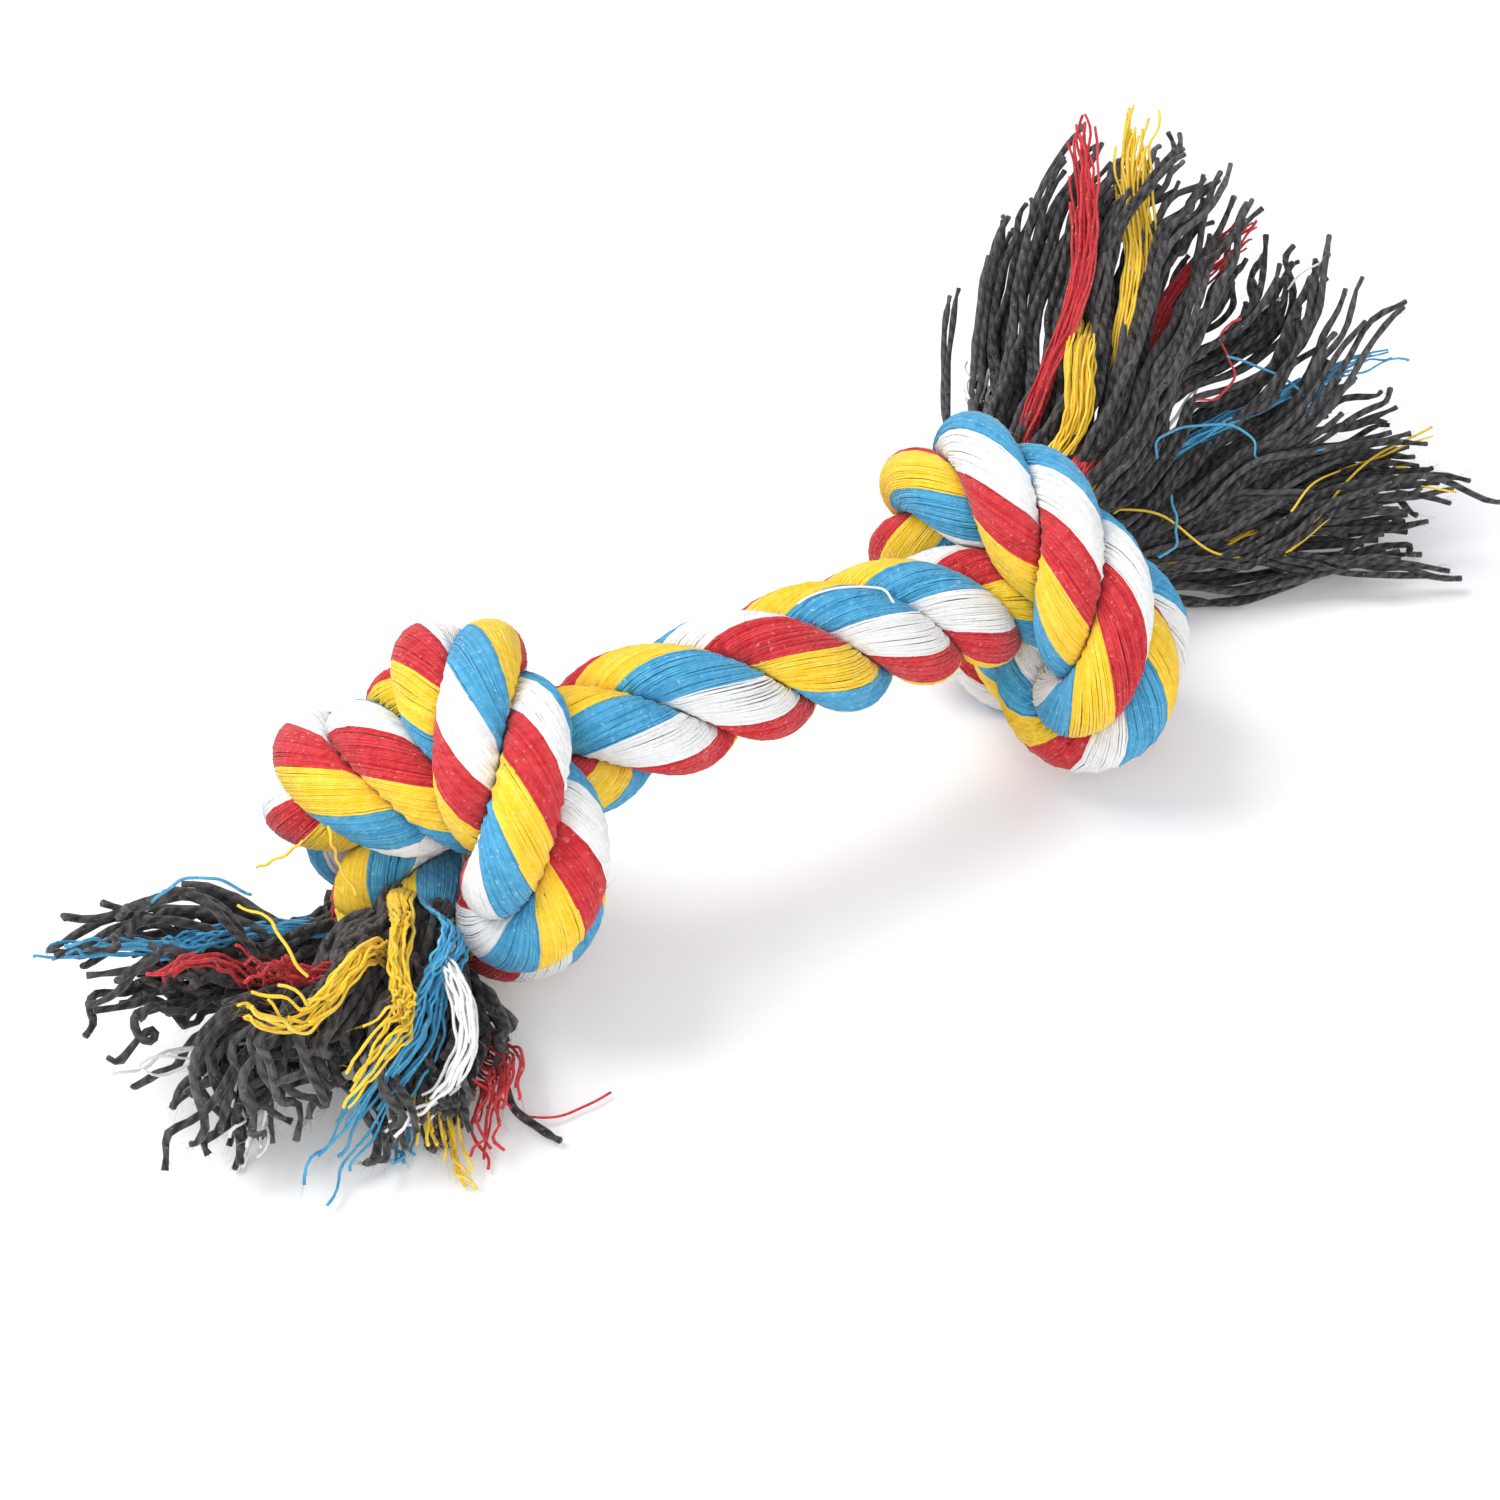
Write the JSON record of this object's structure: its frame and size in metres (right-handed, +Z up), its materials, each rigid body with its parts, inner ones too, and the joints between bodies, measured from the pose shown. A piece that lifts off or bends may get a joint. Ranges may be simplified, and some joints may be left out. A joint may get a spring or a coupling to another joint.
{
  "type": "rope dog toy",
  "caption": "Twisted cotton rope tug toy for dogs, tied in an overhand knot near each end, with the rope frayed into a tassel of loose yarns beyond each knot.",
  "frame": {"origin": "under the middle of the toy's bounding box, on the surface it lies on", "axes": "+X along the toy from the short tassel to the long tassel, +Z up from the surface it lies on"},
  "size_m": [0.2418, 0.1082, 0.0677],
  "materials": {
    "rope_cotton": "striped yarns, matt",
    "dark_cotton": "soft plied yarn, matt",
    "blue_cotton": "fine yarn, matt",
    "white_cotton": "fine yarn, matt",
    "red_cotton": "fine yarn, matt",
    "yellow_cotton": "fine yarn, matt"
  },
  "bodies": {
    "root": {"left_tuft_blue_1": "blue_cotton", "left_tuft_blue_2": "blue_cotton", "left_tuft_blue_3": "blue_cotton", "left_tuft_dark_1": "dark_cotton", "left_tuft_dark_2": "dark_cotton", "left_tuft_dark_3": "dark_cotton", "left_tuft_dark_4": "dark_cotton", "left_tuft_dark_5": "dark_cotton", "left_tuft_dark_6": "dark_cotton", "left_tuft_dark_7": "dark_cotton", "left_tuft_dark_8": "dark_cotton", "left_tuft_dark_9": "dark_cotton", "left_tuft_red_1": "red_cotton", "left_tuft_red_2": "red_cotton", "left_tuft_red_3": "red_cotton", "left_tuft_white_1": "white_cotton", "left_tuft_white_2": "white_cotton", "left_tuft_white_3": "white_cotton", "left_tuft_yellow_1": "yellow_cotton", "left_tuft_yellow_2": "yellow_cotton", "left_tuft_yellow_3": "yellow_cotton", "right_tuft_blue_1": "blue_cotton", "right_tuft_blue_2": "blue_cotton", "right_tuft_blue_3": "blue_cotton", "right_tuft_dark_1": "dark_cotton", "right_tuft_dark_2": "dark_cotton", "right_tuft_dark_3": "dark_cotton", "right_tuft_dark_4": "dark_cotton", "right_tuft_dark_5": "dark_cotton", "right_tuft_dark_6": "dark_cotton", "right_tuft_dark_7": "dark_cotton", "right_tuft_dark_8": "dark_cotton", "right_tuft_dark_9": "dark_cotton", "right_tuft_red_1": "red_cotton", "right_tuft_red_2": "red_cotton", "right_tuft_red_3": "red_cotton", "right_tuft_white_1": "white_cotton", "right_tuft_white_2": "white_cotton", "right_tuft_white_3": "white_cotton", "right_tuft_yellow_1": "yellow_cotton", "right_tuft_yellow_2": "yellow_cotton", "right_tuft_yellow_3": "yellow_cotton", "strand_1": "rope_cotton", "strand_2": "rope_cotton", "strand_3": "rope_cotton"}
  },
  "joints": []
}
